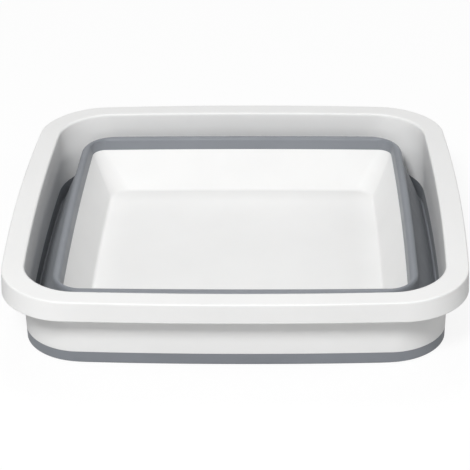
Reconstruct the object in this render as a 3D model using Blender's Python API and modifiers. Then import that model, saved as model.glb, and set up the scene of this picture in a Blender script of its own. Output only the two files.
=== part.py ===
"""Collapsible washing bowl: a rigid tray and a rigid rim frame joined by a soft folding wall.

It is modelled folded flat, standing on its foot. Units are metres, +Z is up, and the origin
lies on the table under the middle of the bowl. The rim frame lifts straight up along Z.

Every piece is laid up from outlines round the same middle. An outline is named by its half
width, measured at the middle of a side, and its height. From the half width follow the radius
of its corners and the bow of its sides, so pieces that nest keep their gap all the way round.
"""
import math

import bmesh
import bpy
import numpy as np

COLLECTION = "collapsible_washbasin"

# Rim frame: flat top, skirt turned down outside, wall down to the table inside
RIM_WIDTH = 0.3200
RIM_HEIGHT = 0.0542
RIM_TOP_THICKNESS = 0.0022
SKIRT_DROP = 0.0145
SKIRT_THICKNESS = 0.0020
SKIRT_DRAFT = 0.0005
RIM_OVERHANG = 0.0147
FRAME_WALL = 0.0022
FRAME_WALL_DRAFT = 0.0011
RIM_OUTER_FILLET = 0.0030
RIM_INNER_FILLET = 0.0016

# Stiffening ribs in the hollow under the rim
RIB_THICKNESS = 0.0012
RIB_DROP = 0.0090
RIB_SPREAD_SHARE = 0.7343
RIBS_PER_SIDE = 5

# Soft band round the foot of the frame's wall
FRAME_BAND_OUTSIDE = 0.0085
FRAME_BAND_INSIDE = 0.0150
FRAME_BAND_SKIN = 0.0008
FRAME_EDGE_LIFT = 0.0022
FRAME_BAND_FILLET = 0.0020
FRAME_BAND_INNER_FILLET = 0.0008

# Tray: floor, sloping sides, and a lip turned out under the soft bead
TRAY_SLOPE_RUN = 0.0146
FLOOR_HEIGHT = 0.0058
TRAY_WALL = 0.0022
NECK_WALL_SHARE = 0.8
TRAY_FLOOR_FILLET = 0.0040
LIP_THICKNESS = 0.0018
FOOT_INSET = 0.0035
FOOT_WIDTH = 0.0035

# Soft bead over the tray's edge
BEAD_ACROSS = 0.0070
BEAD_SUNK = 0.0104
BEAD_LEG = 0.0091
BEAD_SKIN = 0.0010
BEAD_TOP_SKIN = 0.0018
BEAD_UNDERSIDE_SKIN = 0.0018
BEAD_INNER_EDGE_DROP = 0.0006
BEAD_SHOULDER_FILLET = 0.0024
BEAD_INNER_FILLET = 0.0014

# Folding wall between the two bands
FOLD_REACH = 0.0200
FOLD_THICKNESS = 0.0014
HINGE_THICKNESS = 0.0009
FOLD_ROLL_RADIUS = 0.0018
FOLD_TAB = 0.0016
FOLD_FOOT_HEIGHT = 0.0016
FOLD_HEAD_DROP = 0.0034

# Gap between a piece and the piece that it is moulded onto
SEAT_GAP = 0.00025

# Corner radii and bows of the outlines, floor to rim
FLOOR_CORNER = 0.0100
TRAY_EDGE_CORNER = 0.0120
LIP_CORNER = 0.0235
BEAD_CORNER = 0.0263
FRAME_FOOT_CORNER = 0.0370
RIM_CORNER = 0.0456
TRAY_BOW = 0.0017
FRAME_FOOT_BOW = 0.0045
RIM_BOW = 0.0065

# Fineness of the mesh
CORNER_STEPS = 7
SIDE_STEPS = 6
SMALL_ARC_STEPS = 2
LARGE_ARC_STEPS = 4
LARGE_ARC_RADIUS = 0.0012
FOLD_SPANS = 5
SMALL_FILLET = 0.0003
EDGE_FILLET = 0.0006
LONGEST_REACH = 0.48
SHARP_ANGLE = math.radians(35)

# Colour and roughness of each piece
FRAME_FINISH = ((0.80, 0.80, 0.79), 0.38)
TRAY_FINISH = ((0.82, 0.82, 0.81), 0.36)
FRAME_BAND_FINISH = ((0.29, 0.31, 0.34), 0.45)
TRAY_BAND_FINISH = ((0.30, 0.32, 0.35), 0.45)
FOLD_FINISH = ((0.27, 0.29, 0.32), 0.45)

# Half widths and heights that follow, each ring from the one outside it
RIM_HALF = RIM_WIDTH / 2
FRAME_FOOT_HALF = RIM_HALF - RIM_OVERHANG
FRAME_FOOT_INNER = FRAME_FOOT_HALF - FRAME_WALL
RIM_INNER_HALF = FRAME_FOOT_INNER + FRAME_WALL_DRAFT
FRAME_BAND_INNER = FRAME_FOOT_INNER - SEAT_GAP - FRAME_BAND_SKIN
BEAD_HALF = FRAME_FOOT_HALF - FOLD_REACH
BEAD_HEIGHT = RIM_HEIGHT - BEAD_SUNK
TRAY_EDGE_HALF = BEAD_HALF - BEAD_ACROSS
TRAY_EDGE_HEIGHT = BEAD_HEIGHT - BEAD_LEG
FLOOR_HALF = TRAY_EDGE_HALF - TRAY_SLOPE_RUN
TRAY_NECK_INNER = TRAY_EDGE_HALF + BEAD_SKIN + SEAT_GAP
TRAY_NECK_OUTER = TRAY_NECK_INNER + TRAY_WALL * NECK_WALL_SHARE
LIP_HALF = BEAD_HALF - BEAD_SKIN - SEAT_GAP
LIP_TOP = BEAD_HEIGHT - BEAD_TOP_SKIN - SEAT_GAP
LIP_UNDERSIDE = LIP_TOP - LIP_THICKNESS

# Ribs share out the straight part of a side
RIB_SPREAD = 2 * RIB_SPREAD_SHARE * (RIM_HALF - RIM_CORNER)
RIB_SPACING = RIB_SPREAD / (RIBS_PER_SIDE - 1)


def corner_radius(half):
    """Corner radius of the outline with this half width."""
    stations = (
        (FLOOR_HALF, FLOOR_CORNER),
        (TRAY_EDGE_HALF, TRAY_EDGE_CORNER),
        (TRAY_NECK_OUTER + 2 * SEAT_GAP, TRAY_EDGE_CORNER + TRAY_NECK_OUTER + 2 * SEAT_GAP - TRAY_EDGE_HALF),
        (LIP_HALF, LIP_CORNER),
        (BEAD_HALF, BEAD_CORNER),
        (FRAME_FOOT_HALF, FRAME_FOOT_CORNER),
        (RIM_HALF, RIM_CORNER),
    )
    halves, radii = zip(*stations)
    return float(np.interp(half, halves, radii))


def side_bow(half):
    """How far the middle of a side stands out from its ends on this outline."""
    halves = (BEAD_HALF, FRAME_FOOT_HALF, RIM_HALF)
    bows = (TRAY_BOW, FRAME_FOOT_BOW, RIM_BOW)
    return float(np.interp(half, halves, bows))


def outline(half):
    """Points once round a rounded square whose sides bow outwards."""
    radius = corner_radius(half)
    bow = side_bow(half)
    straight = half - radius
    points = []
    for quarter in range(4):
        turn = quarter * math.pi / 2
        for step in range(CORNER_STEPS):
            angle = math.pi / 2 * step / CORNER_STEPS
            points.append((turn, straight + radius * math.cos(angle), straight + radius * math.sin(angle)))
        for step in range(SIDE_STEPS):
            points.append((turn, straight - 2 * straight * step / SIDE_STEPS, half))
    placed = []
    for turn, across, along in points:
        x = across * math.cos(turn) - along * math.sin(turn)
        y = across * math.sin(turn) + along * math.cos(turn)
        placed.append((x * (1 - bow / half * (y / half) ** 2), y * (1 - bow / half * (x / half) ** 2)))
    return placed


def rounded(corners, closed=True):
    """Section points from (half, height, fillet) corners, with an arc at each filleted one."""
    points = []
    for index, (half, height, fillet) in enumerate(corners):
        corner = np.array((half, height))
        at_end = index in (0, len(corners) - 1) and not closed
        if fillet == 0 or at_end:
            points.append(corner)
            continue
        back = np.array(corners[index - 1][:2]) - corner
        ahead = np.array(corners[(index + 1) % len(corners)][:2]) - corner
        back_length = np.linalg.norm(back)
        ahead_length = np.linalg.norm(ahead)
        back /= back_length
        ahead /= ahead_length
        half_angle = math.acos(float(np.clip(back @ ahead, -1, 1))) / 2
        room = LONGEST_REACH * min(back_length, ahead_length)
        reach = min(fillet / math.tan(half_angle), room)
        radius = reach * math.tan(half_angle)
        middle = (back + ahead) / np.linalg.norm(back + ahead)
        centre = corner + middle * radius / math.sin(half_angle)
        first = corner + back * reach - centre
        last = corner + ahead * reach - centre
        sweep = math.pi - 2 * half_angle
        steps = LARGE_ARC_STEPS if radius > LARGE_ARC_RADIUS else SMALL_ARC_STEPS
        for step in range(steps + 1):
            share = step / steps
            before = math.sin((1 - share) * sweep) / math.sin(sweep)
            after = math.sin(share * sweep) / math.sin(sweep)
            points.append(centre + first * before + last * after)
    return points


def material(name, colour, roughness):
    """A plain plastic with the colour and gloss of one piece."""
    finish = bpy.data.materials.new(name)
    finish.use_nodes = True
    shader = finish.node_tree.nodes["Principled BSDF"]
    shader.inputs["Base Color"].default_value = (*colour, 1.0)
    shader.inputs["Roughness"].default_value = roughness
    shader.inputs["Metallic"].default_value = 0.0
    finish.diffuse_color = (*colour, 1.0)
    return finish


def loft(name, section, closed=True, capped=False):
    """Lay faces from each outline of the section to the next, and return the new object."""
    shape = bmesh.new()
    rings = [[shape.verts.new((x, y, height)) for x, y in outline(half)] for half, height in section]
    pairs = list(zip(rings[:-1], rings[1:]))
    if closed:
        pairs.append((rings[-1], rings[0]))
    for one, other in pairs:
        for i in range(len(one)):
            shape.faces.new((one[i - 1], one[i], other[i], other[i - 1]))
    if capped:
        shape.faces.new(rings[0])
        shape.faces.new(rings[-1])
    bmesh.ops.recalc_face_normals(shape, faces=shape.faces)
    mesh = bpy.data.meshes.new(name)
    shape.to_mesh(mesh)
    shape.free()
    mesh.shade_smooth()
    mesh.set_sharp_from_angle(angle=SHARP_ANGLE)
    piece = bpy.data.objects.new(name, mesh)
    bpy.data.collections[COLLECTION].objects.link(piece)
    return piece


def wall_half(height):
    """Half width of the outer face of the frame's wall at a height."""
    top_half = RIM_INNER_HALF + FRAME_WALL
    share = height / (RIM_HEIGHT - RIM_TOP_THICKNESS)
    return FRAME_FOOT_HALF + (top_half - FRAME_FOOT_HALF) * share


def wall_inner_half(height):
    """Half width of the inner face of the frame's wall at a height."""
    return wall_half(height) - FRAME_WALL


def side_offset(half, along):
    """Distance from the middle plane to a side's outline, some way along that side."""
    return half * (1 - side_bow(half) / half * (along / half) ** 2)


def make_rim_frame():
    """The moulded frame: skirt, flat rim and wall in one shell, with ribs under the rim."""
    rim_underside = RIM_HEIGHT - RIM_TOP_THICKNESS
    skirt_foot = RIM_HEIGHT - SKIRT_DROP
    skirt_foot_half = RIM_HALF - SKIRT_DRAFT
    rebate_top = FRAME_BAND_OUTSIDE + SEAT_GAP
    rebate_depth = FRAME_BAND_SKIN + SEAT_GAP
    section = rounded([
        (skirt_foot_half, skirt_foot, EDGE_FILLET),
        (RIM_HALF, RIM_HEIGHT, RIM_OUTER_FILLET),
        (RIM_INNER_HALF, RIM_HEIGHT, RIM_INNER_FILLET),
        (wall_inner_half(FRAME_EDGE_LIFT), FRAME_EDGE_LIFT, SMALL_FILLET),
        (wall_half(FRAME_EDGE_LIFT) - rebate_depth, FRAME_EDGE_LIFT, SMALL_FILLET),
        (wall_half(rebate_top) - rebate_depth, rebate_top, 0),
        (wall_half(rebate_top), rebate_top, 0),
        (wall_half(rim_underside), rim_underside, EDGE_FILLET),
        (RIM_HALF - SKIRT_THICKNESS, rim_underside, EDGE_FILLET),
        (skirt_foot_half - SKIRT_THICKNESS, skirt_foot, EDGE_FILLET),
    ])
    frame = loft("rim_frame", section)
    rib_foot = rim_underside - RIB_DROP
    rib_top = RIM_HEIGHT - RIM_TOP_THICKNESS / 2
    for side in range(4):
        for place in range(RIBS_PER_SIDE):
            along = (place - (RIBS_PER_SIDE - 1) / 2) * RIB_SPACING
            start = side_offset(wall_half(rib_foot) - FRAME_WALL / 2, along)
            stop = side_offset(RIM_HALF - SKIRT_THICKNESS / 2, along)
            add_rib(frame, side * math.pi / 2, along, (start, stop), (rib_foot, rib_top))
    frame.data.materials.append(material("frame_plastic", *FRAME_FINISH))
    return frame


def add_rib(frame, turn, along, reach, heights):
    """Join one flat rib to the frame, between its wall and its skirt."""
    bpy.ops.mesh.primitive_cube_add(size=1)
    rib = bpy.context.active_object
    middle = (reach[0] + reach[1]) / 2
    rib.scale = (reach[1] - reach[0], RIB_THICKNESS, heights[1] - heights[0])
    rib.location = (
        middle * math.cos(turn) - along * math.sin(turn),
        middle * math.sin(turn) + along * math.cos(turn),
        (heights[0] + heights[1]) / 2,
    )
    rib.rotation_euler = (0, 0, turn)
    rib.name = f"rib_guide_{len(frame.modifiers)}"
    file_as_guide(rib)
    union = frame.modifiers.new(rib.name, "BOOLEAN")
    union.operation = "UNION"
    union.solver = "EXACT"
    union.object = rib


def file_as_guide(guide):
    """Hide a shape that is only joined to another, and keep it in its own collection."""
    for holder in list(guide.users_collection):
        holder.objects.unlink(guide)
    bpy.data.collections["guides"].objects.link(guide)
    guide.hide_render = True
    guide.display_type = "WIRE"


def make_frame_edge_band():
    """The soft band wrapped round the foot of the frame's wall."""
    groove_floor = FRAME_EDGE_LIFT - SEAT_GAP
    leg_outer = wall_inner_half(FRAME_BAND_INSIDE) - SEAT_GAP
    section = rounded([
        (wall_half(FRAME_BAND_OUTSIDE), FRAME_BAND_OUTSIDE, 0),
        (wall_half(0), 0, FRAME_BAND_FILLET),
        (FRAME_BAND_INNER, 0, FRAME_BAND_INNER_FILLET),
        (leg_outer - FRAME_BAND_SKIN, FRAME_BAND_INSIDE, EDGE_FILLET),
        (leg_outer, FRAME_BAND_INSIDE, 0),
        (wall_inner_half(groove_floor) - SEAT_GAP, groove_floor, 0),
        (wall_half(groove_floor) - FRAME_BAND_SKIN, groove_floor, 0),
        (wall_half(FRAME_BAND_OUTSIDE) - FRAME_BAND_SKIN, FRAME_BAND_OUTSIDE, 0),
    ])
    band = loft("frame_edge_band", section)
    band.data.materials.append(material("frame_band_rubber", *FRAME_BAND_FINISH))
    return band


def make_folding_wall():
    """The soft wall that folds under the rim: a sheet with thinner hinge rolls at both edges."""
    head_height = BEAD_HEIGHT - FOLD_HEAD_DROP
    head_half = BEAD_HALF + SEAT_GAP
    foot_half = FRAME_BAND_INNER - SEAT_GAP
    bends = rounded([
        (head_half, head_height, 0),
        (head_half + FOLD_TAB, head_height, FOLD_ROLL_RADIUS),
        (foot_half - FOLD_TAB, FOLD_FOOT_HEIGHT, FOLD_ROLL_RADIUS),
        (foot_half, FOLD_FOOT_HEIGHT, 0),
    ], closed=False)
    middle = len(bends) // 2
    upper, lower = bends[middle - 1], bends[middle]
    spans = [upper + (lower - upper) * step / FOLD_SPANS for step in range(1, FOLD_SPANS)]
    path = bends[:middle] + spans + bends[middle:]
    wall = loft("folding_wall", path, closed=False)
    full = wall.vertex_groups.new(name="full_thickness")
    ring_size = len(outline(head_half))
    for index in range(middle, middle + len(spans)):
        start = index * ring_size
        full.add(list(range(start, start + ring_size)), 1.0, "REPLACE")
    shell = wall.modifiers.new("sheet_thickness", "SOLIDIFY")
    shell.thickness = FOLD_THICKNESS
    shell.offset = 0
    shell.use_even_offset = True
    shell.vertex_group = full.name
    shell.thickness_vertex_group = HINGE_THICKNESS / FOLD_THICKNESS
    wall.data.materials.append(material("folding_wall_rubber", *FOLD_FINISH))
    return wall


def make_base_tray():
    """The rigid tray: foot ring, floor, sloping sides and an out-turned lip."""
    underside = FLOOR_HEIGHT - TRAY_WALL
    side_run = TRAY_EDGE_HALF - FLOOR_HALF
    side_rise = TRAY_EDGE_HEIGHT - FLOOR_HEIGHT
    level_wall = TRAY_WALL * math.hypot(side_run, side_rise) / side_rise
    outer_foot_half = FLOOR_HALF + level_wall - TRAY_WALL * side_run / side_rise
    neck_start = TRAY_EDGE_HEIGHT + (TRAY_NECK_OUTER - TRAY_EDGE_HALF - level_wall) * side_rise / side_run
    foot_outer = FLOOR_HALF - FOOT_INSET
    foot_inner = foot_outer - FOOT_WIDTH
    section = rounded([
        (foot_inner - underside, underside, 0),
        (foot_inner, 0, SMALL_FILLET),
        (foot_outer, 0, SMALL_FILLET),
        (foot_outer, underside, 0),
        (outer_foot_half, underside, TRAY_FLOOR_FILLET),
        (TRAY_NECK_OUTER, neck_start, TRAY_FLOOR_FILLET),
        (TRAY_NECK_OUTER, LIP_UNDERSIDE, SMALL_FILLET),
        (LIP_HALF, LIP_UNDERSIDE, SMALL_FILLET),
        (LIP_HALF, LIP_TOP, EDGE_FILLET),
        (TRAY_NECK_INNER, LIP_TOP, SMALL_FILLET),
        (TRAY_NECK_INNER, TRAY_EDGE_HEIGHT - SEAT_GAP, 0),
        (TRAY_EDGE_HALF, TRAY_EDGE_HEIGHT - SEAT_GAP, 0),
        (FLOOR_HALF, FLOOR_HEIGHT, TRAY_FLOOR_FILLET),
        (foot_inner - underside, FLOOR_HEIGHT, 0),
    ])
    tray = loft("base_tray", section, closed=False, capped=True)
    tray.data.materials.append(material("tray_plastic", *TRAY_FINISH))
    return tray


def make_tray_edge_band():
    """The soft bead moulded over the tray's lip, with a leg down the inside of the tray."""
    bead_foot = LIP_UNDERSIDE - SEAT_GAP - BEAD_UNDERSIDE_SKIN
    inner_top_half = TRAY_EDGE_HALF + BEAD_SKIN
    section = rounded([
        (TRAY_EDGE_HALF, TRAY_EDGE_HEIGHT, 0),
        (inner_top_half, BEAD_HEIGHT - BEAD_INNER_EDGE_DROP, BEAD_INNER_FILLET),
        ((TRAY_EDGE_HALF + BEAD_HALF) / 2, BEAD_HEIGHT, 0),
        (BEAD_HALF, BEAD_HEIGHT, BEAD_SHOULDER_FILLET),
        (BEAD_HALF, bead_foot, EDGE_FILLET),
        (TRAY_NECK_OUTER + SEAT_GAP, bead_foot, 0),
        (TRAY_NECK_OUTER + SEAT_GAP, LIP_UNDERSIDE - SEAT_GAP, 0),
        (LIP_HALF + SEAT_GAP, LIP_UNDERSIDE - SEAT_GAP, 0),
        (LIP_HALF + SEAT_GAP, LIP_TOP + SEAT_GAP, EDGE_FILLET),
        (TRAY_NECK_INNER - SEAT_GAP, LIP_TOP + SEAT_GAP, 0),
        (TRAY_NECK_INNER - SEAT_GAP, TRAY_EDGE_HEIGHT, 0),
    ])
    band = loft("tray_edge_band", section)
    band.data.materials.append(material("tray_band_rubber", *TRAY_BAND_FINISH))
    return band


def empty(name):
    """A marker on the lift axis that carries the pieces of one rigid group."""
    marker = bpy.data.objects.new(name, None)
    bpy.data.collections[COLLECTION].objects.link(marker)
    return marker


def main():
    """Clear the scene and build the bowl."""
    for old in list(bpy.data.objects):
        bpy.data.objects.remove(old, do_unlink=True)
    for name in (COLLECTION, "guides"):
        collection = bpy.data.collections.new(name)
        bpy.context.scene.collection.children.link(collection)
    standing = empty("standing_group")
    lifting = empty("lifting_group")
    for piece in (make_base_tray(), make_tray_edge_band(), make_folding_wall()):
        piece.parent = standing
    for piece in (make_rim_frame(), make_frame_edge_band()):
        piece.parent = lifting


main()
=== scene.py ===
"""Detailed look of a collapsible washing bowl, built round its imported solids.

Every piece but the ribs is laid up by one rule. A section, drawn as half width against height,
is carried round a rounded square. The square's corner radius and side bow follow from the half
width, and on the skirt and inside the frame's wall from the height too.
"""
import math

import bmesh
import bpy
import numpy as np
from mathutils import Matrix, Vector


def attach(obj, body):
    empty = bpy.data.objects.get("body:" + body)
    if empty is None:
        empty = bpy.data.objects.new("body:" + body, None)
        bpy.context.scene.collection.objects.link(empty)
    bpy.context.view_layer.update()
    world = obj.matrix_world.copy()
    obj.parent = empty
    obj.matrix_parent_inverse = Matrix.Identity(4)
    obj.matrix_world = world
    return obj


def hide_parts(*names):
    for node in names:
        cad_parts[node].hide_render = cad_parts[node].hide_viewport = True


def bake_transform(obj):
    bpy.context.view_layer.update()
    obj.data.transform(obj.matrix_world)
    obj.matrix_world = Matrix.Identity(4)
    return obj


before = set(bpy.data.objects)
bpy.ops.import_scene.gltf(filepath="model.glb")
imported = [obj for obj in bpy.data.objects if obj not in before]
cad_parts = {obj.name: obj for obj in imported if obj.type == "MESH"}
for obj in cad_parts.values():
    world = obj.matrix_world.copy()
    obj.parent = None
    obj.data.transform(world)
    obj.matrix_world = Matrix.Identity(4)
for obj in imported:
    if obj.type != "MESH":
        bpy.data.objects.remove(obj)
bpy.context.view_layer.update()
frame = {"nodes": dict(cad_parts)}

bl_info = {
    "name": "Collapsible washing bowl",
    "version": (1, 0, 0),
    "blender": (4, 5, 0),
    "location": "3D View > Sidebar > Bowl",
    "description": "Builds a folding washing bowl with a soft grey wall, and its studio",
    "category": "Object",
}

# The bowl's outlines have four sides that are alike
SIDES = 4
QUARTER_TURN = math.pi / 2

# A side draws in towards its ends with this power of the distance from its middle
BOW_POWER = 2.0

# Faces round a corner and along a side of the bowl
CORNER_STEPS = 26
SIDE_STEPS = 24

# Faces round an arc of a section, for a radius above the third value and for one up to it
ARC_STEPS = 7
SMALL_ARC_STEPS = 4
LARGE_ARC_RADIUS = 0.0010

# Spans down the slope of the folding wall
FOLD_SPANS = 30

# The most of a straight that an arc takes up where another arc has the straight's other end
LONGEST_REACH = 0.48

# Straights longer than this get a point near each end, and how near it lies
SUPPORTED_LENGTH = 0.0016
SUPPORT = 0.0004

# Points nearer than this are joined, and edges sharper than this angle stay sharp
WELD = 1e-6
SHARP_ANGLE = math.radians(40)

# Seam between a plastic and a soft piece, roundings of small edges, and how deep a rib is sunk
SEAM = 0.00003
SMALL_FILLET = 0.0003
EDGE_FILLET = 0.0006
RIB_EMBED = 0.0010

# The wall's inner face stays within this much of its half width at the foot
INNER_FACE_RANGE = 0.0011

# Thickness of the tray's upright neck against that of its sides
NECK_WALL_SHARE = 0.8


def length(name, description, default):
    """A length that the sidebar shows in the scene's unit."""
    return bpy.props.FloatProperty(
        name=name, description=description, default=default, unit="LENGTH", precision=5
    )


def colour(name, description, default):
    """A colour that the sidebar shows as a swatch."""
    return bpy.props.FloatVectorProperty(
        name=name, description=description, default=default, subtype="COLOR", size=3, min=0, max=1
    )


def amount(name, description, default):
    """A plain number."""
    return bpy.props.FloatProperty(name=name, description=description, default=default)


class BowlOutline(bpy.types.PropertyGroup):
    """Corner radii and bows of the outlines, floor to rim."""

    floor_corner: length("Floor corner", "Corner radius at the tray's floor", 0.0150)
    tray_edge_corner: length("Tray edge corner", "Corner radius where the tray meets its bead", 0.0098)
    bead_corner: length("Bead corner", "Corner radius outside the bead", 0.0270)
    foot_corner: length("Frame foot corner", "Corner radius at the foot of the frame", 0.0370)
    rim_corner: length("Rim corner", "Corner radius outside the rim", 0.0456)
    tray_bow: length("Tray bow", "How far the tray's sides stand out in the middle", 0.0017)
    foot_bow: length("Frame foot bow", "How far the frame's foot stands out in mid-side", 0.0045)
    rim_bow: length("Rim bow", "How far the rim stands out in mid-side", 0.0065)
    inner_foot_corner: length("Inner foot corner", "Corner radius inside the wall, at its foot", 0.0560)
    skirt_corner: length("Skirt foot corner", "Corner radius outside the skirt's lower edge", 0.0438)
    skirt_bow: length("Skirt foot bow", "How far the skirt's lower edge stands out in mid-side", 0.0048)


class BowlFrame(bpy.types.PropertyGroup):
    """Sizes of the rigid rim frame."""

    rim_half: length("Rim half width", "Half the width over the rim", 0.15992)
    height: length("Height", "Height of the rim, folded", 0.0542)
    top_width: length("Rim width", "Width of the flat rim", 0.0158)
    top_thickness: length("Rim thickness", "Thickness of the flat rim", 0.0022)
    skirt_drop: length("Skirt drop", "How far the skirt hangs below the rim's top", 0.0145)
    skirt_thickness: length("Skirt thickness", "Thickness of the skirt", 0.0020)
    skirt_draft: length("Skirt draft", "How far the skirt leans in towards its foot", 0.0005)
    foot_half: length("Foot half width", "Half the width over the frame's foot", 0.1453)
    wall: length("Wall", "Thickness of the frame's wall", 0.0022)
    outer_fillet: length("Outer rounding", "Rounding of the rim's outer edge", 0.0010)
    inner_fillet: length("Inner rounding", "Rounding of the rim's inner edge", 0.0016)
    edge_lift: length("Edge lift", "Height of the wall's lower edge inside its soft band", 0.0022)
    rib_thickness: length("Rib thickness", "Thickness of a rib under the rim", 0.0012)
    rib_drop: length("Rib drop", "Height of a rib under the rim", 0.0090)
    rib_spacing: length("Rib spacing", "Distance between ribs along a side", 0.0420)
    ribs_per_side: bpy.props.IntProperty(
        name="Ribs per side", description="Number of ribs under the rim on a side",
        default=5, min=0, max=9,
    )


class BowlTray(bpy.types.PropertyGroup):
    """Sizes of the rigid tray."""

    floor_half: length("Floor half width", "Half the width of the tray's floor", 0.1037)
    floor_height: length("Floor height", "Height of the floor's top", 0.0058)
    wall: length("Wall", "Thickness of the tray", 0.0022)
    edge_half: length("Edge half width", "Half the width where white meets grey inside", 0.1183)
    edge_height: length("Edge height", "Height where white meets grey inside", 0.0347)
    floor_fillet: length("Floor rounding", "Rounding between floor and sides", 0.0028)
    lip: length("Lip", "Thickness of the lip inside the bead", 0.0018)
    foot_inset: length("Foot inset", "How far the foot ring stands in from the floor's edge", 0.0035)
    foot_width: length("Foot width", "Width of the foot ring", 0.0035)


class BowlSoft(bpy.types.PropertyGroup):
    """Sizes of the soft bands and of the folding wall."""

    band_outside: length("Band outside", "Height of the foot band outside", 0.0085)
    band_inside: length("Band inside", "Height of the foot band inside", 0.0135)
    band_skin: length("Band skin", "Thickness of the foot band on the wall's outside", 0.00105)
    band_fillet: length("Band rounding", "Rounding under the foot band", 0.0026)
    inner_skin: length("Inner skin", "Thickness of the foot band on the wall's inside", 0.0006)
    bead_half: length("Bead half width", "Half the width over the tray's bead", 0.1253)
    bead_height: length("Bead height", "Height of the bead's top", 0.0438)
    bead_skin: length("Bead skin", "Thickness of the bead on the lip's sides", 0.00125)
    bead_top: length("Bead top", "Thickness of the bead above and under the lip", 0.00205)
    shoulder: length("Shoulder rounding", "Rounding outside the bead's top", 0.0033)
    inner_rounding: length("Inner rounding", "Rounding inside the bead's top", 0.0024)
    fold_thickness: length("Fold thickness", "Thickness of the folding wall", 0.0014)
    hinge_thickness: length("Hinge thickness", "Thickness of the folding wall at its two ends", 0.0009)


class BowlLook(bpy.types.PropertyGroup):
    """Colours of the plastics and strength of the studio's lamps."""

    white: colour("White plastic", "Colour of the tray and the frame", (0.80, 0.80, 0.795))
    grey: colour("Grey soft plastic", "Colour of the bands and the folding wall", (0.205, 0.219, 0.241))
    floor: colour("Floor", "Colour of the studio floor as it lights the bowl", (0.45, 0.45, 0.45))
    key: amount("Key lamp", "Power of the lamp high in front, a little to the left, in watts", 26.0)
    low: amount("Low lamp", "Power of the low lamp in front, in watts", 4.5)
    back: amount("Back lamp", "Power of the lamp above and behind, in watts", 10.5)
    left: amount("Left lamp", "Power of the lamp at the left, in watts", 2.1)
    right: amount("Right lamp", "Power of the lamp at the right, in watts", 4.2)
    ambient: amount("Ambient", "Strength of the white surroundings as light", 0.15)
    mirrored: amount("Mirrored", "Strength of the white surroundings in reflections", 0.45)


class BowlSettings(bpy.types.PropertyGroup):
    """All settings of the bowl."""

    outline: bpy.props.PointerProperty(type=BowlOutline)
    frame: bpy.props.PointerProperty(type=BowlFrame)
    tray: bpy.props.PointerProperty(type=BowlTray)
    soft: bpy.props.PointerProperty(type=BowlSoft)
    look: bpy.props.PointerProperty(type=BowlLook)


class Nodes:
    """Short calls that add nodes to a tree and join them."""

    def __init__(self, tree):
        self.tree = tree

    def feed(self, socket, value):
        """Link a socket to an input, or set the input to a plain value."""
        if isinstance(value, bpy.types.NodeSocket):
            self.tree.links.new(value, socket)
        else:
            socket.default_value = value

    def add(self, kind, inputs=None, **settings):
        """Add a node, with its settings and what goes into its inputs by name or number."""
        node = self.tree.nodes.new(kind)
        for key, value in settings.items():
            setattr(node, key, value)
        for key, value in (inputs or {}).items():
            self.feed(node.inputs[key], value)
        return node

    def first(self, kind, inputs=None, **settings):
        """Add a node and return its first output."""
        return self.add(kind, inputs, **settings).outputs[0]

    def math(self, operation, *values):
        """One step of arithmetic; returns its result."""
        return self.first("ShaderNodeMath", dict(enumerate(values)), operation=operation)

    def total(self, values):
        """The sum of several values."""
        result = values[0]
        for value in values[1:]:
            result = self.math("ADD", result, value)
        return result

    def halfway(self, one, other):
        """The mean of two values."""
        return self.math("MULTIPLY", self.math("ADD", one, other), 0.5)

    def spread(self, value, low, high, to_low, to_high):
        """A value carried from one range to another, held at both ends."""
        inputs = {"Value": value, "From Min": low, "From Max": high, "To Min": to_low, "To Max": to_high}
        return self.add("ShaderNodeMapRange", inputs, clamp=True).outputs["Result"]

    def vector(self, **parts):
        """A vector from its X, Y and Z, with 0 for what isn't given."""
        return self.first("ShaderNodeCombineXYZ", parts)

    def parts(self, vector):
        """The X, Y and Z of a vector."""
        return self.add("ShaderNodeSeparateXYZ", {0: vector}).outputs

    def place(self):
        """Where each point of the mesh lies."""
        return self.first("GeometryNodeInputPosition")

    def end(self, output, shape, finish):
        """End a geometry tree: make its instances real and give them their finish."""
        real = self.first("GeometryNodeRealizeInstances", {"Geometry": shape})
        done = self.first("GeometryNodeSetMaterial", {"Geometry": real, "Material": finish})
        self.add("NodeGroupOutput", {output: done})


def new_tree(name, output):
    """An empty geometry tree for a modifier, with its output."""
    tree = bpy.data.node_groups.new(name, "GeometryNodeTree")
    tree.is_modifier = True
    tree.interface.new_socket(name=output, in_out="OUTPUT", socket_type="NodeSocketGeometry")
    return tree


def add_input(tree, name, kind, default=None, description=""):
    """A named input of a geometry tree."""
    socket = tree.interface.new_socket(
        name=name, in_out="INPUT", socket_type=kind, description=description
    )
    if default is not None:
        socket.default_value = default


def outline_stations(settings):
    """Name, half width and corner radius, and name, half width and bow, from floor to rim."""
    shape, tray, soft, rim = settings.outline, settings.tray, settings.soft, settings.frame
    corners = [
        ("Floor", tray.floor_half, shape.floor_corner),
        ("Tray edge", tray.edge_half, shape.tray_edge_corner),
        ("Bead", soft.bead_half, shape.bead_corner),
        ("Frame foot", rim.foot_half, shape.foot_corner),
        ("Rim", rim.rim_half, shape.rim_corner),
    ]
    bows = [
        ("Tray bow", soft.bead_half, shape.tray_bow),
        ("Frame foot bow", rim.foot_half, shape.foot_bow),
        ("Rim bow", rim.rim_half, shape.rim_bow),
    ]
    return corners, bows


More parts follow.
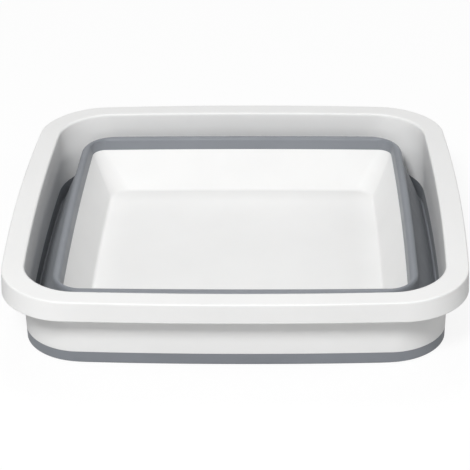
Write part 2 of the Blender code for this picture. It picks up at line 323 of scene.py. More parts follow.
def ring_inputs(tree, settings):
    """Add the ring tree's inputs; returns the names of its corner outlines and its bow outlines."""
    add_input(tree, "Section", "NodeSocketGeometry", description="Points at half width and height")
    add_input(tree, "Corner steps", "NodeSocketInt", CORNER_STEPS, "Faces round a corner")
    add_input(tree, "Side steps", "NodeSocketInt", SIDE_STEPS, "Faces along a side")
    add_input(tree, "Closed", "NodeSocketInt", 1, "1 where the section's last point joins its first")
    add_input(tree, "Material", "NodeSocketMaterial", description="Finish of the piece")
    corners, bows = outline_stations(settings)
    for name, half, value in corners + bows:
        add_input(tree, f"{name} half width", "NodeSocketFloat", half, "Where this outline lies")
        add_input(tree, f"{name} size", "NodeSocketFloat", value, "Its corner radius, or its bow")
    rim, shape = settings.frame, settings.outline
    skirt_foot, inner_half = rim.height - rim.skirt_drop, rim.foot_half - rim.wall
    for name, default, words in (
        ("Rim height", rim.height, "Height at which the rim's own outline holds"),
        ("Skirt foot height", skirt_foot, "Height at which the skirt foot's outline holds"),
        ("Skirt foot corner", shape.skirt_corner, "Corner radius at the skirt's foot"),
        ("Skirt foot bow", shape.skirt_bow, "Bow at the skirt's foot"),
        ("Inner wall half width", inner_half, "Half width inside the wall, at its foot"),
        ("Inner foot height", settings.soft.band_inside, "Height up to which the inner corner holds"),
        ("Inner foot corner", shape.inner_foot_corner, "Corner radius inside the wall, at its foot"),
    ):
        add_input(tree, name, "NodeSocketFloat", default, words)
    return [name for name, _, _ in corners], [name for name, _, _ in bows]


def section_grid(build, given, quarter_steps):
    """A sheet of faces, the step round the bowl of each point, and its half width and height."""
    size = build.add("GeometryNodeAttributeDomainSize", {"Geometry": given["Section"]})
    count = size.outputs["Point Count"]
    around = build.math("MULTIPLY", quarter_steps, SIDES)
    along = build.math("SUBTRACT", build.math("ADD", count, given["Closed"]), 1.0)
    grid = build.add("GeometryNodeMeshGrid", {
        "Size X": around,
        "Size Y": along,
        "Vertices X": build.math("ADD", around, 1.0),
        "Vertices Y": build.math("ADD", along, 1.0),
    }).outputs["Mesh"]
    place = build.parts(build.place())

    def counted(value, steps):
        """Steps from the edge of the sheet, whose middle lies at the origin."""
        return build.math("ROUND", build.math("ADD", value, build.math("MULTIPLY", steps, 0.5)))

    step, row = counted(place["X"], around), counted(place["Y"], along)
    sampled = build.add("GeometryNodeSampleIndex", {
        "Geometry": given["Section"],
        "Value": build.place(),
        "Index": build.math("MODULO", row, count),
    }, data_type="FLOAT_VECTOR", domain="POINT").outputs["Value"]
    point = build.parts(sampled)
    return grid, step, point["X"], point["Z"]


def corner_and_bow(build, given, names, half, height):
    """Corner radius and bow of the outline on which a point of the section lies."""
    corner_names, bow_names = names

    def follow(stations):
        """The size that a row of outlines gives at this half width."""
        sizes = [given[f"{stations[0]} size"]]
        for near, far in zip(stations[:-1], stations[1:]):
            rise = build.math("SUBTRACT", given[f"{far} size"], given[f"{near} size"])
            low, high = given[f"{near} half width"], given[f"{far} half width"]
            sizes.append(build.spread(half, low, high, 0.0, rise))
        return build.total(sizes)

    foot_half, inner_half = given["Frame foot half width"], given["Inner wall half width"]
    # Out towards the skirt, the outline changes with height to that of the skirt's foot
    outside_wall = build.spread(half, foot_half, given["Rim half width"], 0.0, 1.0)
    below_rim = build.spread(height, given["Skirt foot height"], given["Rim height"], 1.0, 0.0)
    on_skirt = build.math("MULTIPLY", outside_wall, below_rim)

    def ease(value, at_rim, at_skirt):
        """The value shifted towards the skirt foot's, the more the lower the point lies on the skirt."""
        return build.math("MULTIPLY_ADD", on_skirt, build.math("SUBTRACT", at_skirt, at_rim), value)

    # On the wall's inside, the corner grows rounder towards the foot
    reached = build.spread(half, given["Bead half width"], inner_half, 0.0, 1.0)
    inner_face = build.math("ADD", inner_half, INNER_FACE_RANGE)
    left_again = build.spread(half, inner_face, foot_half, 1.0, 0.0)
    near_foot = build.spread(height, given["Inner foot height"], given["Rim height"], 1.0, 0.0)
    on_inner_wall = build.math("MULTIPLY", build.math("MULTIPLY", reached, left_again), near_foot)
    rounder = build.math("SUBTRACT", given["Inner foot corner"], given["Frame foot size"])
    plain_corner = build.math("MULTIPLY_ADD", on_inner_wall, rounder, follow(corner_names))
    corner = ease(plain_corner, given["Rim size"], given["Skirt foot corner"])
    # Across the floor, the bow dies away towards the middle
    inside_floor = build.math("MINIMUM", build.math("DIVIDE", half, given["Floor half width"]), 1.0)
    plain_bow = build.math("MULTIPLY", follow(bow_names), inside_floor)
    bow = ease(plain_bow, given["Rim bow size"], given["Skirt foot bow"])
    return build.math("MINIMUM", corner, half), bow


def round_place(build, given, step, quarter_steps, half, radius):
    """Where a step lies on the rounded square: each quarter is a corner and then a side."""
    # The half step keeps a quarter's first point from rounding down into the quarter before
    quarter = build.math("FLOOR", build.math("DIVIDE", build.math("ADD", step, 0.5), quarter_steps))
    local = build.math("SUBTRACT", step, build.math("MULTIPLY", quarter, quarter_steps))
    share = build.math("MINIMUM", build.math("DIVIDE", local, given["Corner steps"]), 1.0)
    angle = build.math("MULTIPLY", share, QUARTER_TURN)
    passed = build.math("MAXIMUM", build.math("SUBTRACT", local, given["Corner steps"]), 0.0)
    run = build.math("MULTIPLY", 2.0, build.math("DIVIDE", passed, given["Side steps"]))
    side = build.math("SUBTRACT", 1.0, run)
    straight = build.math("SUBTRACT", half, radius)
    curved = build.math("MULTIPLY", radius, build.math("COSINE", angle))
    across = build.math("MULTIPLY_ADD", straight, side, curved)
    out = build.math("MULTIPLY_ADD", radius, build.math("SINE", angle), straight)
    turn = build.math("MULTIPLY", quarter, QUARTER_TURN)
    cosine, sine = build.math("COSINE", turn), build.math("SINE", turn)
    x = build.math("SUBTRACT", build.math("MULTIPLY", across, cosine), build.math("MULTIPLY", out, sine))
    y = build.math("MULTIPLY_ADD", across, sine, build.math("MULTIPLY", out, cosine))
    return x, y


def ring_tree(settings):
    """The geometry tree that carries a section round the bowl."""
    found = bpy.data.node_groups.get("carry section round")
    if found:
        return found
    tree = new_tree("carry section round", "Piece")
    names = ring_inputs(tree, settings)
    build = Nodes(tree)
    given = build.add("NodeGroupInput").outputs
    quarter_steps = build.math("ADD", given["Corner steps"], given["Side steps"])
    grid, step, half, height = section_grid(build, given, quarter_steps)
    radius, bow = corner_and_bow(build, given, names, half, height)
    x, y = round_place(build, given, step, quarter_steps, half, radius)
    bow_share = build.math("DIVIDE", bow, half)

    def bowed(value, other):
        """A coordinate drawn in towards the ends of its side."""
        share = build.math("ABSOLUTE", build.math("DIVIDE", other, half))
        drawn_in = build.math("MULTIPLY", bow_share, build.math("POWER", share, BOW_POWER))
        return build.math("MULTIPLY", value, build.math("SUBTRACT", 1.0, drawn_in))

    position = build.vector(X=bowed(x, y), Y=bowed(y, x), Z=height)
    laid = build.first("GeometryNodeSetPosition", {"Geometry": grid, "Position": position})
    joined = build.first("GeometryNodeMergeByDistance", {"Geometry": laid, "Distance": WELD})
    smooth = build.first("GeometryNodeSetShadeSmooth", {"Geometry": joined})
    build.end("Piece", smooth, given["Material"])
    return tree


def add_object(name, data):
    """A new object in the scene."""
    made = bpy.data.objects.new(name, data)
    bpy.context.scene.collection.objects.link(made)
    return made


def built_piece(name, mesh, tree, values):
    """Run a geometry tree on a mesh, and return what it makes as a plain mesh at the origin."""
    source = add_object(f"{name} source", mesh)
    modifier = source.modifiers.new(tree.name, "NODES")
    modifier.node_group = tree
    for item in tree.interface.items_tree:
        if item.item_type == "SOCKET" and item.in_out == "INPUT" and item.name in values:
            modifier[item.identifier] = values[item.name]
    bpy.context.view_layer.update()
    evaluated = source.evaluated_get(bpy.context.evaluated_depsgraph_get())
    made = bpy.data.meshes.new_from_object(evaluated)
    made.name = name
    bpy.data.objects.remove(source, do_unlink=True)
    if not made.polygons:
        raise RuntimeError(f"{name} came out empty")
    shape = bmesh.new()
    shape.from_mesh(made)
    bmesh.ops.recalc_face_normals(shape, faces=shape.faces)
    shape.to_mesh(made)
    shape.free()
    made.shade_smooth()
    made.set_sharp_from_angle(angle=SHARP_ANGLE)
    return add_object(name, made)


def carry_round(name, section, finish, settings, closed=True):
    """Carry a section round the bowl, and return the finished piece."""
    mesh = bpy.data.meshes.new(f"{name} section")
    mesh.from_pydata([(half, 0, height) for half, height in section], [], [])
    return built_piece(name, mesh, ring_tree(settings), {"Closed": int(closed), "Material": finish})


def rounded(corners, closed=True):
    """Section points from (half, height, fillet) corners, with an arc at each filleted one."""
    points = []
    for index, (half, height, fillet) in enumerate(corners):
        corner = np.array((half, height))
        at_end = index in (0, len(corners) - 1) and not closed
        if fillet == 0 or at_end:
            points.append(corner)
            continue
        room = math.inf
        arms = []
        for neighbour in (corners[index - 1], corners[(index + 1) % len(corners)]):
            arm = np.array(neighbour[:2]) - corner
            # A neighbour without an arc leaves its share of the straight to this one
            shares = 1 if neighbour[2] else 2
            room = min(room, LONGEST_REACH * shares * np.linalg.norm(arm))
            arms.append(arm)
        back, ahead = arms
        back /= np.linalg.norm(back)
        ahead /= np.linalg.norm(ahead)
        half_angle = math.acos(float(np.clip(back @ ahead, -1, 1))) / 2
        reach = min(fillet / math.tan(half_angle), room)
        radius = reach * math.tan(half_angle)
        middle = (back + ahead) / np.linalg.norm(back + ahead)
        centre = corner + middle * radius / math.sin(half_angle)
        first = corner + back * reach - centre
        last = corner + ahead * reach - centre
        sweep = math.pi - 2 * half_angle
        steps = ARC_STEPS if radius > LARGE_ARC_RADIUS else SMALL_ARC_STEPS
        for share in np.linspace(0, 1, steps + 1):
            before = math.sin((1 - share) * sweep) / math.sin(sweep)
            after = math.sin(share * sweep) / math.sin(sweep)
            points.append(centre + first * before + last * after)
    return supported(points, closed)


def supported(points, closed):
    """The same section with a point close to each end of its long straights, to keep them flat."""
    result = []
    count = len(points) if closed else len(points) - 1
    for index in range(count):
        start, stop = points[index], points[(index + 1) % len(points)]
        result.append(start)
        span = np.linalg.norm(stop - start)
        if span > SUPPORTED_LENGTH:
            along = (stop - start) / span
            result.append(start + along * SUPPORT)
            result.append(stop - along * SUPPORT)
    if not closed:
        result.append(points[-1])
    return result


def wall_half(rim, height):
    """Half width of the outer face of the frame's wall at a height."""
    top_half = rim.rim_half - rim.top_width + rim.wall
    return rim.foot_half + (top_half - rim.foot_half) * height / (rim.height - rim.top_thickness)


def tray_neck(settings):
    """Inner and outer half width of the tray's upright neck, under its lip."""
    inner = settings.tray.edge_half + settings.soft.bead_skin
    return inner, inner + settings.tray.wall * NECK_WALL_SHARE


# Noise of the plastics as scale and detail, and the part of its range that tone and gloss use
TONE_NOISE = (18.0, 3.0)
TONE_RANGE = (0.30, 0.70)
GLOSS_NOISE = (55.0, 4.0)
GLOSS_RANGE = (0.35, 0.65)

# Detail of the noise that raises the ripple and the grain
RIPPLE_DETAIL = 1.0
GRAIN_DETAIL = 2.0

# How far light runs inside the plastic, and how much of that red, green and blue light does
LIGHT_REACH = 0.0015
LIGHT_REACH_BY_COLOUR = (1.0, 0.95, 0.9)


def white_plastic(settings):
    """White moulded plastic: matt, faintly grained, and letting a little light in."""
    return plastic(
        "white plastic", settings.look.white, spread=0.012, rough=(0.50, 0.60),
        grain=(1500.0, 0.06, 0.00004), ripple=(42.0, 0.06, 0.0002),
        subsurface=0.12, sheen=0.0, ior=1.49,
    )


def soft_plastic(settings):
    """Grey soft plastic: cloudier, with a finer and deeper grain and a trace of sheen."""
    return plastic(
        "grey soft plastic", settings.look.grey, spread=0.05, rough=(0.46, 0.56),
        grain=(2300.0, 0.10, 0.00005), ripple=(60.0, 0.05, 0.0002),
        subsurface=0.0, sheen=0.06, ior=1.50,
    )


def plastic(name, base, spread, rough, grain, ripple, subsurface, sheen, ior):
    """A moulded plastic with slight cloudiness and uneven gloss.

    Grain and ripple are the scale, strength and height of its fine and its broad unevenness.
    """
    found = bpy.data.materials.get(name)
    if found:
        return found
    finish = bpy.data.materials.new(name)
    finish.use_nodes = True
    build = Nodes(finish.node_tree)
    shader = finish.node_tree.nodes["Principled BSDF"]
    place = build.add("ShaderNodeTexCoord").outputs["Object"]

    def clouds(scale, detail):
        """Noise of one size over the object."""
        inputs = {"Vector": place, "Scale": scale, "Detail": detail}
        return build.add("ShaderNodeTexNoise", inputs).outputs["Fac"]

    def uneven(relief, detail, **under):
        """Bumps of one kind, on top of those that are under them."""
        scale, strength, height = relief
        inputs = {"Height": clouds(scale, detail), "Strength": strength, "Distance": height}
        return build.add("ShaderNodeBump", {**inputs, **under}).outputs["Normal"]

    darker = tuple(value * (1 - spread) for value in base)
    lighter = tuple(min(1.0, value * (1 + spread)) for value in base)
    ramp = build.add("ShaderNodeValToRGB", {"Fac": clouds(*TONE_NOISE)})
    for element, position, tone in zip(ramp.color_ramp.elements, TONE_RANGE, (darker, lighter)):
        element.position = position
        element.color = (*tone, 1)
    build.feed(shader.inputs["Base Color"], ramp.outputs["Color"])
    build.feed(shader.inputs["Roughness"], build.spread(clouds(*GLOSS_NOISE), *GLOSS_RANGE, *rough))
    broad = uneven(ripple, RIPPLE_DETAIL)
    build.feed(shader.inputs["Normal"], uneven(grain, GRAIN_DETAIL, Normal=broad))
    shader.inputs["IOR"].default_value = ior
    shader.inputs["Metallic"].default_value = 0.0
    shader.inputs["Subsurface Weight"].default_value = subsurface
    shader.inputs["Subsurface Radius"].default_value = LIGHT_REACH_BY_COLOUR
    shader.inputs["Subsurface Scale"].default_value = LIGHT_REACH
    shader.inputs["Sheen Weight"].default_value = sheen
    finish.diffuse_color = (*base, 1)
    return finish


def place_piece(piece, body, slot, *nodes):
    """Let a finished piece ride on its body and stand for its solids."""
    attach(piece, body)
    if nodes:
        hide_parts(*nodes)


class BOWL_OT_rim_frame(bpy.types.Operator):
    """Build the white rim frame: skirt, flat rim and wall in one shell"""

    bl_idname = "bowl.rim_frame"
    bl_label = "Rim frame"

    def execute(self, context):
        settings = context.scene.bowl
        rim, soft = settings.frame, settings.soft
        underside = rim.height - rim.top_thickness
        skirt_foot = rim.height - rim.skirt_drop
        skirt_half = rim.rim_half - rim.skirt_draft
        rebate = soft.band_skin
        rebate_top = soft.band_outside + SEAM
        inner_top = soft.band_inside + SEAM
        # Up the skirt's outside, over the rim, down the wall's inside, up the wall's outside,
        # and back under the rim and down the skirt's inside
        section = rounded([
            (skirt_half, skirt_foot, EDGE_FILLET),
            (rim.rim_half, rim.height, rim.outer_fillet),
            (rim.rim_half - rim.top_width, rim.height, rim.inner_fillet),
            (wall_half(rim, inner_top) - rim.wall, inner_top, 0),
            (wall_half(rim, inner_top) - rim.wall + soft.inner_skin, inner_top, 0),
            (wall_half(rim, rim.edge_lift) - rim.wall + soft.inner_skin, rim.edge_lift, 0),
            (wall_half(rim, rim.edge_lift) - rebate, rim.edge_lift, SMALL_FILLET),
            (wall_half(rim, rebate_top) - rebate, rebate_top, 0),
            (wall_half(rim, rebate_top), rebate_top, 0),
            (wall_half(rim, underside), underside, EDGE_FILLET),
            (rim.rim_half - rim.skirt_thickness, underside, EDGE_FILLET),
            (skirt_half - rim.skirt_thickness, skirt_foot, EDGE_FILLET),
        ])
        piece = carry_round("rim_shell", section, white_plastic(settings), settings)
        place_piece(piece, "frame", "white_plastic", "rim_frame")
        return {"FINISHED"}


class BOWL_OT_rim_ribs(bpy.types.Operator):
    """Set the stiffening ribs in the hollow under the rim"""

    bl_idname = "bowl.rim_ribs"
    bl_label = "Rim ribs"

    def execute(self, context):
        settings = context.scene.bowl
        rim = settings.frame
        underside = rim.height - rim.top_thickness
        foot = underside - rim.rib_drop
        piece = built_piece("rim_ribs", bpy.data.meshes.new("ribs"), rib_tree(), {
            "Inner reach": wall_half(rim, foot) - RIB_EMBED,
            "Outer reach": rim.rim_half - rim.skirt_thickness + RIB_EMBED,
            "Top": underside + RIB_EMBED,
            "Foot": foot,
            "Thickness": rim.rib_thickness,
            "Spacing": rim.rib_spacing,
            "Ribs on a side": rim.ribs_per_side,
            "Bow": settings.outline.rim_bow,
            "Half width": rim.rim_half,
            "Material": white_plastic(settings),
        })
        place_piece(piece, "frame", "white_plastic")
        return {"FINISHED"}


def rib_tree():
    """The geometry tree that sets boxes along the four sides, following their bow."""
    tree = new_tree("ribs along the sides", "Ribs")
    for name, words in (
        ("Inner reach", "Where a rib starts, from the middle of the bowl"),
        ("Outer reach", "Where a rib ends"),
        ("Top", "Height of its top"),
        ("Foot", "Height of its foot"),
        ("Thickness", "Its thickness"),
        ("Spacing", "Distance from rib to rib"),
        ("Bow", "How far a side stands out in its middle"),
        ("Half width", "Half width that the bow belongs to"),
    ):
        add_input(tree, name, "NodeSocketFloat", description=words)
    add_input(tree, "Ribs on a side", "NodeSocketInt", description="Number of ribs on a side")
    add_input(tree, "Material", "NodeSocketMaterial", description="Finish of the ribs")
    build = Nodes(tree)
    given = build.add("NodeGroupInput").outputs
    middle = build.halfway(given["Inner reach"], given["Outer reach"])
    level = build.halfway(given["Top"], given["Foot"])
    size = build.vector(
        X=build.math("SUBTRACT", given["Outer reach"], given["Inner reach"]),
        Y=given["Thickness"],
        Z=build.math("SUBTRACT", given["Top"], given["Foot"]),
    )
    box = build.add("GeometryNodeMeshCube", {"Size": size}).outputs["Mesh"]
    gaps = build.math("SUBTRACT", given["Ribs on a side"], 1.0)
    start = build.math("MULTIPLY", build.math("MULTIPLY", gaps, given["Spacing"]), -0.5)
    row = build.first("GeometryNodeMeshLine", {
        "Count": given["Ribs on a side"],
        "Start Location": build.vector(X=middle, Y=start, Z=level),
        "Offset": build.vector(Y=given["Spacing"]),
    }, mode="OFFSET")
    along = build.math("DIVIDE", build.parts(build.place())["Y"], given["Half width"])
    share = build.math("POWER", build.math("ABSOLUTE", along), BOW_POWER)
    drawn_in = build.math("MULTIPLY", share, build.math("MULTIPLY", given["Bow"], -1.0))
    bowed = build.first("GeometryNodeSetPosition", {"Geometry": row, "Offset": build.vector(X=drawn_in)})
    side = build.first("GeometryNodeInstanceOnPoints", {"Points": bowed, "Instance": box})
    centres = {"Count": SIDES, "Offset": (0.0, 0.0, 0.0)}
    turn = build.math("MULTIPLY", build.first("GeometryNodeInputIndex"), QUARTER_TURN)
    turned = build.first("GeometryNodeInstanceOnPoints", {
        "Points": build.first("GeometryNodeMeshLine", centres, mode="OFFSET"),
        "Instance": side,
        "Rotation": build.first("FunctionNodeEulerToRotation", {0: build.vector(Z=turn)}),
    })
    build.end("Ribs", turned, given["Material"])
    return tree


class BOWL_OT_foot_band(bpy.types.Operator):
    """Wrap the soft band round the foot of the frame's wall"""

    bl_idname = "bowl.foot_band"
    bl_label = "Foot band"

    def execute(self, context):
        settings = context.scene.bowl
        rim, soft = settings.frame, settings.soft
        groove = rim.edge_lift - SEAM
        core = rim.wall - soft.inner_skin + SEAM
        outer_skin = soft.band_skin - SEAM
        # Down the outside, under the wall's edge, up the inside, and back round the edge
        section = rounded([
            (wall_half(rim, soft.band_outside), soft.band_outside, 0),
            (wall_half(rim, 0), 0, soft.band_fillet),
            (wall_half(rim, 0) - rim.wall, 0, EDGE_FILLET),
            (wall_half(rim, soft.band_inside) - rim.wall, soft.band_inside, 0),
            (wall_half(rim, soft.band_inside) - core, soft.band_inside, 0),
            (wall_half(rim, groove) - core, groove, 0),
            (wall_half(rim, groove) - outer_skin, groove, 0),
            (wall_half(rim, soft.band_outside) - outer_skin, soft.band_outside, 0),
        ])
        piece = carry_round("foot_band", section, soft_plastic(settings), settings)
        place_piece(piece, "frame", "grey_rubber", "frame_edge_band")
        return {"FINISHED"}


class BOWL_OT_tray(bpy.types.Operator):
    """Build the white tray: foot ring, floor, sloping sides and lip"""

    bl_idname = "bowl.tray"
    bl_label = "Tray"

    def execute(self, context):
        settings = context.scene.bowl
        tray, soft = settings.tray, settings.soft
        underside = tray.floor_height - tray.wall
        run, rise = tray.edge_half - tray.floor_half, tray.edge_height - tray.floor_height
        level_wall = tray.wall * math.hypot(run, rise) / rise
        neck_inner, neck_outer = tray_neck(settings)
        neck_start = tray.edge_height + (neck_outer - tray.edge_half - level_wall) * rise / run
        foot_outer = tray.floor_half - tray.foot_inset
        foot_inner = foot_outer - tray.foot_width
        lip_half, lip_top = soft.bead_half - soft.bead_skin, soft.bead_height - soft.bead_top
        # Out under the tray, up its outside, over the lip, and down its inside to the middle
        section = rounded([
            (0, underside, 0),
            (foot_inner - underside, underside, SMALL_FILLET),
            (foot_inner, 0, SMALL_FILLET),
            (foot_outer, 0, SMALL_FILLET),
            (foot_outer, underside, SMALL_FILLET),
            (tray.floor_half + level_wall - tray.wall * run / rise, underside, tray.floor_fillet),
            (neck_outer, neck_start, tray.floor_fillet),
            (neck_outer, lip_top - tray.lip, SMALL_FILLET),
            (lip_half, lip_top - tray.lip, SMALL_FILLET),
            (lip_half, lip_top, EDGE_FILLET),
            (neck_inner, lip_top, SMALL_FILLET),
            (neck_inner, tray.edge_height - SEAM, 0),
            (tray.edge_half, tray.edge_height - SEAM, 0),
            (tray.floor_half, tray.floor_height, tray.floor_fillet),
            (0, tray.floor_height, 0),
        ], closed=False)
        piece = carry_round("tray_shell", section, white_plastic(settings), settings, closed=False)
        place_piece(piece, "tray", "white_plastic", "base_tray")
        return {"FINISHED"}


class BOWL_OT_tray_bead(bpy.types.Operator):
    """Mould the soft bead over the tray's lip"""

    bl_idname = "bowl.tray_bead"
    bl_label = "Tray bead"

    def execute(self, context):
        settings = context.scene.bowl
        tray, soft = settings.tray, settings.soft
        neck_inner, neck_outer = tray_neck(settings)
        lip_half, lip_top = soft.bead_half - soft.bead_skin, soft.bead_height - soft.bead_top
        lip_foot = lip_top - tray.lip
        bead_foot = lip_foot - soft.bead_top
        top_share = soft.inner_rounding / (soft.inner_rounding + soft.shoulder)
        # Up the inside, over the top, down the outside, and back round the lip
        section = rounded([
            (tray.edge_half, tray.edge_height, 0),
            (neck_inner, soft.bead_height, soft.inner_rounding),
            (neck_inner + (soft.bead_half - neck_inner) * top_share, soft.bead_height, 0),
            (soft.bead_half, soft.bead_height, soft.shoulder),
            (soft.bead_half, bead_foot, EDGE_FILLET),
            (neck_outer + SEAM, bead_foot, 0),
            (neck_outer + SEAM, lip_foot - SEAM, 0),
            (lip_half + SEAM, lip_foot - SEAM, 0),
            (lip_half + SEAM, lip_top + SEAM, EDGE_FILLET),
            (neck_inner - SEAM, lip_top + SEAM, 0),
            (neck_inner - SEAM, tray.edge_height, 0),
        ])
        piece = carry_round("tray_bead", section, soft_plastic(settings), settings)
        place_piece(piece, "tray", "grey_rubber", "tray_edge_band")
        return {"FINISHED"}


# How far under the bead's top the folding wall starts and then bends, and how round that bend is
FOLD_HEAD_DROP = 0.0051
FOLD_BEND_DROP = 0.0076
FOLD_HEAD_ROLL = 0.0060

# Height of its foot, how far the bend there stands in from the frame's wall, and how round it is
FOLD_FOOT_HEIGHT = 0.0016
FOLD_FOOT_REACH = 0.0016
FOLD_FOOT_ROLL = 0.0018

# How deep its two ends are sunk in the bead and in the foot band
FOLD_HEAD_BURIED = 0.0010
FOLD_FOOT_BURIED = 0.0003

# Share of its course, from either end, over which it grows to its full thickness
FOLD_THICKENING = 0.15


class BOWL_OT_fold(bpy.types.Operator):
    """Hang the soft folding wall between the bead and the foot band"""

    bl_idname = "bowl.fold"
    bl_label = "Folding wall"

    def execute(self, context):
        settings = context.scene.bowl
        rim, soft = settings.frame, settings.soft
        head = soft.bead_height - FOLD_HEAD_DROP
        foot_half = rim.foot_half - rim.wall
        path = rounded([
            (soft.bead_half - FOLD_HEAD_BURIED, head, 0),
            (soft.bead_half - FOLD_HEAD_BURIED, soft.bead_height - FOLD_BEND_DROP, FOLD_HEAD_ROLL),
            (foot_half - FOLD_FOOT_REACH, FOLD_FOOT_HEIGHT, FOLD_FOOT_ROLL),
            (foot_half + FOLD_FOOT_BURIED, FOLD_FOOT_HEIGHT, 0),
        ], closed=False)
        section = sheet_section(evenly(path), soft.fold_thickness, soft.hinge_thickness)
        piece = carry_round("folding_skin", section, soft_plastic(settings), settings)
        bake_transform(piece)
        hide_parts("folding_wall")
        return {"FINISHED"}


def evenly(path):
    """The path with its longest straight cut into even spans."""
    gaps = [np.linalg.norm(after - before) for before, after in zip(path[:-1], path[1:])]
    longest = int(np.argmax(gaps))
    start, stop = path[longest], path[longest + 1]
    cuts = [start + (stop - start) * share for share in np.linspace(0, 1, FOLD_SPANS + 1)]
    return path[:longest] + cuts + path[longest + 2:]


def sheet_section(path, thickness, end_thickness):
    """A closed section round a path: full thickness along it, thinner at both ends."""
    course = np.array(path)
    steps = np.linalg.norm(np.diff(course, axis=0), axis=1)
    run = np.concatenate(([0], np.cumsum(steps)))
    share = run / run[-1]
    fade = np.clip(np.minimum(share, 1 - share) / FOLD_THICKENING, 0, 1)
    widths = end_thickness + (thickness - end_thickness) * fade
    tangent = np.gradient(course, axis=0)
    tangent /= np.linalg.norm(tangent, axis=1)[:, None]
    normal = np.stack([-tangent[:, 1], tangent[:, 0]], axis=1)
    one = course + normal * widths[:, None] / 2
    other = course - normal * widths[:, None] / 2
    return list(one) + list(other[::-1])


# Camera that the photograph was taken with, found from the bowl's outlines
CAMERA_PLACE = (0.03366, -1.13725, 0.62314)
CAMERA_PITCH = math.radians(27.901)
CAMERA_YAW = math.radians(-1.831)
CAMERA_ROLL = math.radians(-0.832)
CAMERA_FOCAL_PIXELS = 1756.2

# Width of the picture, width of the sensor that stands for it, and where the camera's sight starts
PICTURE_PIXELS = 470
SENSOR_MM = 36.0
CAMERA_NEAREST = 0.01

# Half the floor's width, its colour to the camera, and how much of what shows is its own glow
FLOOR_HALF = 3.0
FLOOR_WHITE = 0.95
FLOOR_GLOW = 0.88

# Lamps: the setting of their power, degrees right of the front, degrees up, distance and width
LAMPS = (
    ("key", -16, 46, 1.9, 0.45),
    ("low", 0, 11, 1.6, 0.55),
    ("back", 180, 55, 2.0, 0.8),
    ("left", -90, 33, 1.6, 0.6),
    ("right", 90, 33, 1.6, 0.6),
)
LAMP_AIM = (0, 0, 0.03)


class BOWL_OT_studio(bpy.types.Operator):
    """Set the floor, the soft lamps, the white surroundings and the camera"""

    bl_idname = "bowl.studio"
    bl_label = "Studio"

    def execute(self, context):
        look = context.scene.bowl.look
        make_floor(look)
        make_surroundings(context.scene, look)
        for name, azimuth, rise, distance, width in LAMPS:
            make_lamp(f"{name} lamp", azimuth, rise, distance, width, getattr(look, name))
        make_camera(context.scene)
        context.scene.view_settings.view_transform = "Standard"
        return {"FINISHED"}


def ray_kinds(build):
    """1 for rays that the camera sees by, also through glass, and 1 for mirrored ones."""
    light_path = build.add("ShaderNodeLightPath").outputs
    seen = build.math("MAXIMUM", light_path["Is Camera Ray"], light_path["Is Transmission Ray"])
    return seen, light_path["Is Glossy Ray"]


def make_floor(look):
    """A pale floor that looks white to the camera and still takes the bowl's shadow."""
    shape = bmesh.new()
    bmesh.ops.create_grid(shape, x_segments=1, y_segments=1, size=FLOOR_HALF)
    mesh = bpy.data.meshes.new("floor")
    shape.to_mesh(mesh)
    shape.free()
    floor = add_object("floor", mesh)
    finish = bpy.data.materials.new("studio floor")
    finish.use_nodes = True
    finish.node_tree.nodes.clear()
    build = Nodes(finish.node_tree)
    seen, glossy = ray_kinds(build)
    pale = build.add("ShaderNodeMix", {
        "Factor": seen,
        "A": (*look.floor, 1),
        "B": (FLOOR_WHITE, FLOOR_WHITE, FLOOR_WHITE, 1),
    }, data_type="RGBA").outputs["Result"]
    matt = build.first("ShaderNodeBsdfDiffuse", {"Color": pale})
    white = build.first("ShaderNodeEmission", {"Color": (1, 1, 1, 1), "Strength": 1.0})
    mirrored = build.math("MULTIPLY", glossy, look.mirrored)
    share = build.math("MULTIPLY", build.math("MAXIMUM", seen, mirrored), FLOOR_GLOW)
    mixed = build.first("ShaderNodeMixShader", {0: share, 1: matt, 2: white})
    build.add("ShaderNodeOutputMaterial", {"Surface": mixed})
    mesh.materials.append(finish)


def make_surroundings(scene, look):
    """White all round: full white to the camera, dimmer as light on the bowl."""
    world = bpy.data.worlds.new("studio")
    world.use_nodes = True
    world.node_tree.nodes.clear()
    build = Nodes(world.node_tree)
    seen, glossy = ray_kinds(build)
    strength = build.total([
        look.ambient,
        build.math("MULTIPLY", seen, 1.0 - look.ambient),
        build.math("MULTIPLY", glossy, look.mirrored - look.ambient),
    ])
    white = build.first("ShaderNodeBackground", {"Color": (1, 1, 1, 1), "Strength": strength})
    build.add("ShaderNodeOutputWorld", {"Surface": white})
    scene.world = world


def make_lamp(name, azimuth, rise, distance, width, power):
    """A square lamp turned towards the bowl, out of the camera's sight."""
    turn, tilt = math.radians(azimuth), math.radians(rise)
    level = distance * math.cos(tilt)
    offset = Vector((level * math.sin(turn), -level * math.cos(turn), distance * math.sin(tilt)))
    lamp = bpy.data.lights.new(name, "AREA")
    lamp.shape = "SQUARE"
    lamp.size = width
    lamp.energy = power
    holder = add_object(name, lamp)
    holder.location = Vector(LAMP_AIM) + offset
    holder.rotation_euler = (-offset).to_track_quat("-Z", "Y").to_euler()
    holder.visible_camera = False


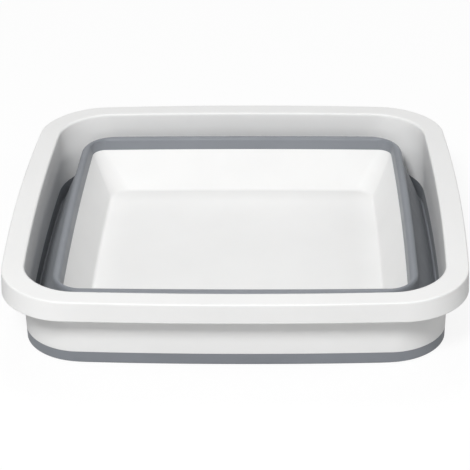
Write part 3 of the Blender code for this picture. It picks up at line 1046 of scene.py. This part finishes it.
def make_camera(scene):
    """The camera, from its place, pitch, yaw and roll."""
    pitch, yaw, roll = CAMERA_PITCH, CAMERA_YAW, CAMERA_ROLL
    ahead = Vector((math.sin(yaw) * math.cos(pitch), math.cos(yaw) * math.cos(pitch), -math.sin(pitch)))
    level_right = Vector((math.cos(yaw), -math.sin(yaw), 0))
    level_up = level_right.cross(ahead)
    right = math.cos(roll) * level_right + math.sin(roll) * level_up
    up = -math.sin(roll) * level_right + math.cos(roll) * level_up
    lens = bpy.data.cameras.new("camera")
    lens.sensor_width = SENSOR_MM
    lens.lens = CAMERA_FOCAL_PIXELS / PICTURE_PIXELS * SENSOR_MM
    lens.clip_start = CAMERA_NEAREST
    camera = add_object("camera", lens)
    turn = Matrix((right, up, -ahead)).transposed()
    camera.matrix_world = Matrix.Translation(CAMERA_PLACE) @ turn.to_4x4()
    scene.camera = camera


class BOWL_PT_panel(bpy.types.Panel):
    """The bowl's settings and what they build"""

    bl_idname = "BOWL_PT_panel"
    bl_label = "Collapsible washing bowl"
    bl_space_type = "VIEW_3D"
    bl_region_type = "UI"
    bl_category = "Bowl"

    def draw(self, context):
        settings = context.scene.bowl
        for title, group in (
            ("Outlines", settings.outline),
            ("Frame", settings.frame),
            ("Tray", settings.tray),
            ("Soft parts", settings.soft),
            ("Look", settings.look),
        ):
            box = self.layout.box()
            box.label(text=title)
            for key in group.__annotations__:
                box.prop(group, key)
        for operator in OPERATORS:
            self.layout.operator(operator.bl_idname)


OPERATORS = (
    BOWL_OT_rim_frame,
    BOWL_OT_rim_ribs,
    BOWL_OT_foot_band,
    BOWL_OT_tray,
    BOWL_OT_tray_bead,
    BOWL_OT_fold,
    BOWL_OT_studio,
)
CLASSES = (BowlOutline, BowlFrame, BowlTray, BowlSoft, BowlLook, BowlSettings, *OPERATORS, BOWL_PT_panel)


def register():
    """Add the settings, the operators and the panel."""
    for item in CLASSES:
        bpy.utils.register_class(item)
    bpy.types.Scene.bowl = bpy.props.PointerProperty(type=BowlSettings)


def unregister():
    """Take them out again."""
    del bpy.types.Scene.bowl
    for item in reversed(CLASSES):
        bpy.utils.unregister_class(item)


def main():
    """Build the bowl and its studio."""
    register()
    for operator in OPERATORS:
        group, name = operator.bl_idname.split(".")
        getattr(getattr(bpy.ops, group), name)()


if __name__ == "__main__":
    main()
